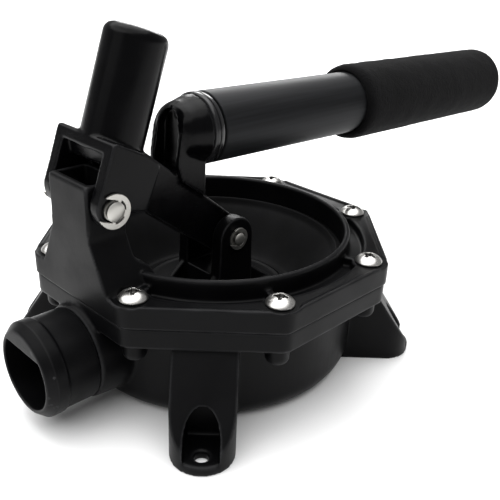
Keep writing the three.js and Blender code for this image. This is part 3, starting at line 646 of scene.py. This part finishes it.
# ---------- screws, pins and clips ----------
def cover_screw():
    """A pan-head screw with a cross recess, whose hollow is marked for the painted shade of its material.
    """
    seat = RING_TOP + GAP
    top = seat + HEAD_H
    sweep, rise, steps = 1.15, 3, 14
    across, down = HEAD_R / math.sin(sweep), rise / (1 - math.cos(sweep))
    dome = [(across * math.sin(a), top - down * (1 - math.cos(a)))
            for a in (sweep * i / steps for i in range(steps + 1))]
    shank = [(SHANK_R, seat), (SHANK_R, SHANK_END + 0.6), (SHANK_R - 0.6, SHANK_END), (0, SHANK_END)]
    solid = lathe([*dome, (HEAD_R, seat), *shank], 96)
    blade_side = [(-3.8, top + 1), (3.8, top + 1), (2.2, top - 2.3), (-2.2, top - 2.3)]
    blade = prism(blade_side, -0.75, 0.75, "side")
    point = lathe([(0, top - 2.8), (1.7, top - 1.4), (2.2, top + 1), (0, top + 1)], 24)
    cross = [blade, copied(blade, spin(90, "Z")), point]
    screw = soften(combine(solid, cut=cross), voxel=0.14, rounds=2, triangles=16000)
    ball = (HEAD_R ** 2 + rise ** 2) / (2 * rise)
    clean, fade, recess_r = 0.12, 0.4, 4.2
    # painted shade: deeper points of the cross recess get a higher mark, which the stainless material
    # darkens
    painted_recess_shade = screw.data.attributes.new("painted_recess_shade", "FLOAT", "POINT")
    for vertex, mark in zip(screw.data.vertices, painted_recess_shade.data):
        x, y, z = vertex.co
        sunk = top - ball + math.sqrt(max(ball ** 2 - x * x - y * y, 0)) - z
        inside = z > seat + 0.8 and math.hypot(x, y) < recess_r
        mark.value = min(max((sunk - clean) / fade, 0), 1) if inside else 0
    return screw


def pin(half, share):
    """A pin with a crowned tail outside each clip; its tails are a share of the shaft's radius."""
    out, into = half - CLIP_THICK + GAP, half - 2 * CLIP_THICK - GAP
    tail_r = PIN_R * share
    crown = ((0.3, 0.03), (0.55, 0.14), (0.75, 0.32), (0.9, 0.56), (1, 0.85))
    side = [(tail_r * r, half - z) for r, z in crown]
    side += [(tail_r * 0.75, out), (tail_r * 0.75, into), (PIN_R, into - 0.2)]
    other = [(r, -z) for r, z in reversed(side)]
    return lathe([(0, half), *side, *other, (0, -half)], 64, ALONG_Y)


def clip(open_deg, y, share):
    """A flat snap ring: lugs that grip the pin, and an open side."""
    plate = lathe([(3.3, 0), (7, 0), (7, CLIP_THICK), (3.3, CLIP_THICK)], 96, closed=True)
    relief = lathe([(1, -1), (4.9, -1), (4.9, 2.2), (1, 2.2)], 64, closed=True)
    lugs = [block(-7, 0, -1.4, 1.4, -2, 3), block(-1.4, 1.4, -7, 7, -2, 3)]
    relief = combine(relief, cut=lugs)
    solid = combine(plate, cut=[block(0, 9, -4.4, 4.4, -1, 3), relief])
    soften(solid, voxel=0.14, rounds=2, triangles=9000)
    size = Matrix.Diagonal((share, share, 1, 1))
    return moved(solid, shift(y=y) @ ALONG_Y @ spin(open_deg, "Z") @ size)


# ---------- diaphragm and its plates ----------
def diaphragm():
    """A dished sheet from the ring down to the plate, with a bead near each edge."""
    rim_z = SEAM_Z + GAP / 2 + GAP
    edge_z = PLATE_Z - GAP - SKIN_THICK
    top, under = [], []
    steps = 80
    for i in range(steps + 1):
        t = i / steps
        ease = t * t * (3 - 2 * t)
        r = SKIN_RIM_R + (SKIN_IN_R - SKIN_RIM_R) * t
        drop = (rim_z - edge_z) * ease
        bead = 2.4 * math.exp(-((t - 0.11) / 0.038) ** 2) + 0.5 * math.exp(-((t - 0.9) / 0.04) ** 2)
        top.append((r, rim_z + SKIN_THICK - drop + bead))
        under.append((r, rim_z - drop))
    hub = [(CENTRE_BORE + 0.1, edge_z), (CENTRE_BORE + 0.1, edge_z + SKIN_THICK)]
    rim = [(SKIN_OUT_R, rim_z + SKIN_THICK), (SKIN_OUT_R, rim_z)]
    return lathe([*hub, *reversed(top), *rim, *under], 160, closed=True)


def upper_plate():
    """The upper plate with the fork that holds the rod pin, and two ribs on each side of the fork."""
    plate = lathe([(0, PLATE_Z), (PLATE_R, PLATE_Z), (PLATE_R, PLATE_Z + 1.8), (PLATE_R - 1.2, PLATE_Z + 3),
                   (PLATE_R - 2.8, PLATE_Z + 3.6), (PLATE_R - 3.8, PLATE_Z + 3), (0, PLATE_Z + 3)], 128)
    base_plan = rounded([(-26.5, -16.5, 3), (26.5, -16.5, 3), (26.5, 16.5, 3), (-26.5, 16.5, 3)])
    base = prism(base_plan, PLATE_Z + 2, PLATE_Z + 5)
    eye = arc(ROD_X, ROD_Z, FORK_HALF, FORK_HALF, 0, 180, 32)
    post = prism([(-11, PLATE_Z + 2), (11, PLATE_Z + 2), *eye], -FORK_HALF_Y, FORK_HALF_Y, "side")
    rib = [(11, PLATE_Z + 2), (24, PLATE_Z + 2), (24, PLATE_Z + 5), (11, PLATE_Z + 15)]
    ribs = [prism([(s * a, b) for a, b in rib], y - 1.3, y + 1.3, "side")
            for s in (1, -1) for y in (-11.5, 11.5)]
    gap = block(-27, 27, -FORK_GAP, FORK_GAP, PLATE_Z + 15, ROD_Z + 20)
    bore = rod(PIN_R + GAP, -30, 30, shift(ROD_X, 0, ROD_Z) @ ALONG_Y)
    screw_bore = rod(CENTRE_BORE, PLATE_Z - 1, PLATE_Z + 11, segments=32)
    solid = combine(plate, [base, post, *ribs], [gap, bore, screw_bore])
    return soften(solid, voxel=0.55, rounds=6, triangles=110000)


def lower_plate():
    """The disc under the diaphragm."""
    bottom = DISC_TOP - DISC_THICK
    loop = [(CENTRE_BORE, bottom), (CENTRE_BORE, DISC_TOP), (DISC_R, DISC_TOP, 0.8),
            (DISC_R, DISC_TOP - 1.6, 0.5), (DISC_R - 2, bottom, 0.8)]
    return lathe(rounded(loop, 4), 128, closed=True)


def plate_washer():
    bottom = WASHER_TOP - WASHER_THICK
    loop = [(CENTRE_BORE, bottom), (CENTRE_BORE, WASHER_TOP, 0.2), (WASHER_R, WASHER_TOP, 0.3),
            (WASHER_R, bottom, 0.3)]
    return lathe(rounded(loop, 3), 96, closed=True)


def plate_screw():
    """The screw that holds the plates together, its hexagon head at the bottom."""
    bottom = HEX_TOP - HEX_HIGH
    hexagon = arc(0, 0, HEX_R, HEX_R, 0, 300, 5)
    chamfer = lathe([(0, bottom), (HEX_R - 0.8, bottom), (HEX_R, bottom + 0.5), (HEX_R, HEX_TOP),
                     (0, HEX_TOP)], 64)
    head = combine(prism(hexagon, bottom, HEX_TOP), common=[chamfer])
    return bevel(combine(head, [rod(CENTRE_BORE - GAP, HEX_TOP - 1, PLATE_Z + 10)]), 0.15, 2)


# ---------- lever ----------
# The back of the opening between the bracket's plates, in side view, from the top down.
WINDOW_BACK = [(-67.2, 115.4), (-66.6, 109.2), (-57, 104.5), (-54, 91)]


def bracket():
    """The two plates beside the tower, and the roof between them."""
    shoulder = [(-46.9, 108.3, 2.5), (-54, 113.8, 6)]
    plate = rounded([
        (-68.2, 121, 1.6), (-73.9, 105.4, 12), (-77.5, 96.4, 7), (-75.6, 89.6, 5), (-70.3, 87.4, 5),
        (-65.6, 88.4, 4), (-62.8, 92.6, 3), (-54.6, 89.8, 2.5), *shoulder,
    ])
    roof = rounded([(-68.2, 121, 1.6), (-70.2, 115.6, 0.6), *WINDOW_BACK, (-52.5, 93), *shoulder])
    return [prism(plate, PLATE_IN_Y, PLATE_OUT_Y, "side"), prism(plate, -PLATE_OUT_Y, -PLATE_IN_Y, "side"),
            prism(roof, -ROOF_HALF, ROOF_HALF, "side")]


def arm():
    """The arm and its eye, and the oblong slot to cut for the rod pin."""
    along = Vector((ROD_X - PIVOT_X, ROD_Z - PIVOT_Z)).normalized()
    side = rounded([(-46.9, 111.3), (-54, 106), (-54, 91), (-6, 53.4, 4), (6, 60), (5.2, 69.2, 4)])
    eye = rod(EYE_R, -ARM_HALF, ARM_HALF, shift(ROD_X + along.x * 1.2, 0, ROD_Z + along.y * 1.2) @ ALONG_Y)
    turn = math.degrees(math.atan2(along.y, along.x))
    far = Vector((ROD_X, ROD_Z)) + along * SLOT_LONG
    slot = [*arc(ROD_X, ROD_Z, SLOT_R, SLOT_R, turn + 90, turn + 270, 24),
            *arc(far.x, far.y, SLOT_R, SLOT_R, turn - 90, turn + 90, 24)]
    return [prism(side, -ARM_HALF, ARM_HALF, "side"), eye], prism(slot, -20, 20, "side")


def handle_root():
    """The arched post with its open channel, and the boss and spigot that carry the handle."""
    side = rounded([
        (-28.5, 94.5), (-30.8, 102, 8), (-28.8, 114), (-27, 121, 5), (-23, 125.8, 4), (-15.3, 126.5),
        (-15.3, 85),
    ])
    arch = arc(0, POST_ARCH_Z, POST_HALF, POST_HALF, 0, 180, 32)
    front = prism([(-POST_HALF, 80), (POST_HALF, 80), *arch], -40, -5, "front")
    post = combine(prism(side, -POST_HALF - 1, POST_HALF + 1, "side"), common=[front])
    boss = lathe([(0, -29), (5.5, -29), (8, -28.6), (10.2, -27.6), (12, -26), (12.9, -24), (13.6, -21),
                  (14.5, -18), (15.2, COLLAR_START), (0, COLLAR_START)], 96, AT_HANDLE)
    hollow = [(-7.6, 97.5), (7.6, 97.5), *arc(0, 114.5, 6.8, 9.4, 0, 180, 24)]
    channel = prism(hollow, -40, -24, "front")
    slit = block(-34, -20, -0.4, 0.4, 119, 126.4)
    root = COLLAR_START - 1
    spigot = lathe([(0, root), (SPIGOT_R, root), (SPIGOT_R, SPIGOT_END - 3), (SPIGOT_R - 2, SPIGOT_END),
                    (0, SPIGOT_END)], 96, AT_HANDLE)
    return combine(combine(post, [boss], [channel, slit]), [spigot])


def park_spigot():
    """The upright spigot above the bracket, cut away inside the opening."""
    shaft = lathe([(0, -22), (SPIGOT_R, -22), (SPIGOT_R, 24.3), (12.5, 26), (11.4, 27.4), (9.5, 28.2),
                   (6, 28.45), (0, 28.6)], 96, AT_PARK)
    room = prism([(-80, 115.4), *WINDOW_BACK, (-54, 54), (-90, 54)], -30, 30, "side")
    return combine(shaft, cut=[room])


def lever():
    """The bracket, the arm, the handle's root and the parking spigot, as one moulding."""
    near, *others = bracket()
    arm_solids, slot = arm()
    bore = rod(PIN_R + GAP, -30, 30, shift(PIVOT_X, 0, PIVOT_Z) @ ALONG_Y)
    solids = [*others, *arm_solids, handle_root(), park_spigot()]
    return soften(combine(near, solids, [bore, slot]), voxel=0.58, rounds=3)


# ---------- handle ----------
def handle_collar():
    """The ring between the boss and the tube, with a groove near the boss."""
    start, end = COLLAR_START + GAP, TUBE_START - 1
    groove = TUBE_R - 0.45
    outer = [(TUBE_R - 0.6, start), (TUBE_R - 0.1, start + 0.5), (TUBE_R, start + 1), (TUBE_R, start + 2),
             (groove, start + 2.25), (groove, start + 2.6), (TUBE_R, start + 2.85), (TUBE_R, end - 0.6),
             (TUBE_R - 0.5, end)]
    return lathe([(SPIGOT_R + GAP, end), (SPIGOT_R + GAP, start), *outer], 160, AT_HANDLE, closed=True)


def handle_tube():
    loop = [(TUBE_BORE, TUBE_END), (TUBE_BORE, TUBE_START + 0.4), (TUBE_BORE + 0.4, TUBE_START),
            (TUBE_R - 0.5, TUBE_START), (TUBE_R - 0.12, TUBE_START + 0.15), (TUBE_R, TUBE_START + 0.6),
            (TUBE_R, TUBE_END)]
    return lathe(loop, 160, AT_HANDLE, closed=True)


def handle_grip():
    """A foam sleeve with a closed end, slightly uneven as foam is."""
    end = arc(GRIP_R - GRIP_ROUND, GRIP_END - GRIP_ROUND, GRIP_ROUND, GRIP_ROUND, 90, 0, 12)
    flat = [(r, GRIP_END) for r in (0, 3, 6, 9, 11.5)]
    side_end, side_start, steps = GRIP_END - GRIP_ROUND - 1, GRIP_START + 5, 60
    length = side_end - side_start
    side = [(GRIP_R, side_end - length * i / steps) for i in range(steps + 1)]
    start = [(GRIP_R - 0.4, GRIP_START + 2.6), (GRIP_R - 1.3, GRIP_START + 0.8), (GRIP_R - 2.6, GRIP_START),
             (TUBE_R + 0.9, GRIP_START), (TUBE_R + GAP, GRIP_START + 0.5)]
    inside = [(TUBE_R + GAP, TUBE_END + GAP), (0, TUBE_END + GAP)]
    obj = lathe([*flat, *end, *side, *start, *inside], 128)
    for vertex in obj.data.vertices:
        x, y, z = vertex.co
        radius = math.hypot(x, y)
        if radius > TUBE_R + 0.95 or z > GRIP_END - 4:
            push = 0.22 * noise.noise(vertex.co / 9) + 0.1 * noise.noise(vertex.co / 2.6) - 0.2
            away = Vector((x, y, 0)).normalized() if radius > 1 else Vector((0, 0, 0))
            if z > GRIP_END - 4:
                away = (away * 0.3 + Vector((0, 0, 1))).normalized()
            vertex.co += away * push
    return moved(obj, AT_HANDLE)


# ---------- the pieces ----------
def add(node, obj, surface, body, slot, smooth_angle=None):
    dress(obj, node, surface, smooth_angle)
    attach(obj, body)
    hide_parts(node)
    return obj


add("chamber_body", chamber_body(), MOULDED, "base", "moulded_black")
add("clamp_ring", clamp_ring(), MOULDED, "base", "moulded_black")
TAIL = tail()
add("inlet_tail", copied(TAIL, MIRROR_X), MOULDED, "base", "moulded_black")
add("outlet_tail", TAIL, MOULDED, "base", "moulded_black")
SEAL = seal()
add("inlet_seal", copied(SEAL, MIRROR_X), RUBBER, "base", "black_rubber", smooth_angle=50)
add("outlet_seal", SEAL, RUBBER, "base", "black_rubber", smooth_angle=50)
INLET_FLAP_X, OUTLET_FLAP_X = GAP - SEPTUM_START, GAP + SOCKET_START
add("inlet_flap", flap(INLET_FLAP_X), RUBBER, "inlet_flap", "black_rubber", smooth_angle=40)
add("outlet_flap", flap(OUTLET_FLAP_X), RUBBER, "outlet_flap", "black_rubber", smooth_angle=40)
add("inlet_flap_bar", flap_bar(INLET_FLAP_X), MOULDED, "base", "moulded_black", smooth_angle=40)
add("outlet_flap_bar", flap_bar(OUTLET_FLAP_X), MOULDED, "base", "moulded_black", smooth_angle=40)

random.seed(7)
SCREW = cover_screw()
for number, angle in enumerate(BOLT_ANGLES, 1):
    around = Vector((BOLT_R, 0, 0))
    around.rotate(Matrix.Rotation(math.radians(angle), 3, "Z"))
    twin = copied(SCREW, Matrix.Translation(around) @ spin(random.uniform(0, 90), "Z"))
    add(f"cover_screw_{number}", twin, STEEL, "base", "stainless", smooth_angle=35)
bpy.data.objects.remove(SCREW)

SKIN = dress(diaphragm(), "diaphragm", RUBBER)
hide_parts("diaphragm")
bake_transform(SKIN)

add("upper_plate", upper_plate(), MOULDED, "piston", "moulded_black")
add("lower_plate", lower_plate(), MOULDED, "piston", "moulded_black", smooth_angle=40)
add("plate_washer", plate_washer(), STEEL, "piston", "stainless", smooth_angle=40)
add("plate_screw", plate_screw(), STEEL, "piston", "stainless", smooth_angle=30)
add("lever", lever(), LEVER, "lever", "lever_black")
add("handle_collar", handle_collar(), COLLAR, "lever", "collar_black", smooth_angle=60)
add("handle_tube", handle_tube(), TUBE, "handle", "tube_black", smooth_angle=60)
GRIP = add("handle_grip", handle_grip(), FOAM, "handle", "grip_foam")

CLIP_OPEN_DEG = 200
PINS = (("pivot", PIVOT_X, PIVOT_Z, "lever", 1.0), ("rod", ROD_X, ROD_Z, "piston", 0.76))
for name, x, z, body, share in PINS:
    half = high(name + "_pin").y
    place = shift(x, 0, z)
    add(name + "_pin", moved(pin(half, share), place), SPRING, body, "stainless", smooth_angle=50)
    for side, y in (("near", -(half - CLIP_THICK)), ("far", half - 2 * CLIP_THICK)):
        add(f"{name}_clip_{side}", moved(clip(CLIP_OPEN_DEG, y, share), place), SPRING, body, "stainless")


# ---------- camera, light and floor ----------
CAMERA_AT = (AXIS_X - 0.2077, -0.2257, 0.1955)         # metres
CAMERA_TURN, CAMERA_LIFT, CAMERA_ROLL = (math.radians(a) for a in (-42.622, 23.364, -1.099))
CAMERA_YAW, CAMERA_PITCH = 0.05, 0.033                 # radians
LENS, SENSOR = 50.19, 36
SKY_POWER, SKY_SPREAD, SKY_TILT = 4.2, 100, -8         # the last two in degrees
WORLD_STRENGTH = 0.32


def camera():
    """The photo's point of view."""
    turn, lift = CAMERA_TURN, CAMERA_LIFT
    back = Vector((math.sin(turn) * math.cos(lift), -math.cos(turn) * math.cos(lift), math.sin(lift)))
    right = Vector((math.cos(turn), math.sin(turn), 0))
    rows = Matrix((right, back.cross(right), back))
    aim = Matrix.Rotation(CAMERA_ROLL, 3, "Z") @ Matrix.Rotation(CAMERA_YAW, 3, "Y")
    aim = aim @ Matrix.Rotation(CAMERA_PITCH, 3, "X") @ rows
    data = bpy.data.cameras.new("camera")
    data.lens = LENS
    data.sensor_width = SENSOR
    obj = bpy.data.objects.new("camera", data)
    bpy.context.collection.objects.link(obj)
    obj.matrix_world = Matrix.Translation(CAMERA_AT) @ aim.transposed().to_4x4()
    bpy.context.scene.camera = obj


def softbox(name, place, target, size, power):
    """A rectangular area light, aimed at a point."""
    data = bpy.data.lights.new(name, "AREA")
    data.energy = power
    data.shape = "RECTANGLE"
    data.size, data.size_y = size
    obj = bpy.data.objects.new(name, data)
    bpy.context.collection.objects.link(obj)
    obj.location = place
    obj.rotation_euler = (Vector(target) - Vector(place)).to_track_quat("-Z", "Y").to_euler()


def studio():
    """Three softboxes, a broad soft sky and a pale floor."""
    softbox("key", place=(-1.1, 0.15, 0.75), target=(-0.06, 0, 0.06), size=(0.8, 0.8), power=1)
    softbox("top", place=(0.1, 0.25, 1.6), target=(-0.02, 0, 0.05), size=(1.4, 1.0), power=10)
    softbox("rim", place=(0.9, 0.9, 0.7), target=(0, 0, 0.08), size=(0.7, 0.5), power=8)
    data = bpy.data.lights.new("sky", "SUN")
    data.energy = SKY_POWER
    data.angle = math.radians(SKY_SPREAD)
    sky = bpy.data.objects.new("sky", data)
    bpy.context.collection.objects.link(sky)
    sky.rotation_euler = (math.radians(SKY_TILT), math.radians(SKY_TILT), 0)
    world = bpy.data.worlds.new("studio")
    world.use_nodes = True
    background = world.node_tree.nodes["Background"]
    background.inputs["Color"].default_value = (1, 1, 1, 1)
    background.inputs["Strength"].default_value = WORLD_STRENGTH
    bpy.context.scene.world = world
    bpy.context.scene.view_settings.view_transform = "Standard"
    bm = bmesh.new()
    bmesh.ops.create_grid(bm, x_segments=8, y_segments=8, size=15)
    floor = to_object(bm, "floor")
    pale, shader = material("pale_floor", (0.9, 0.9, 0.9), 0.6)
    n = Nodes(pale)
    n.tree.links.new(n.span(n.noise(3.0, 2.0), 0.55, 0.65), shader.inputs["Roughness"])
    floor.data.materials.append(pale)


camera()
studio()
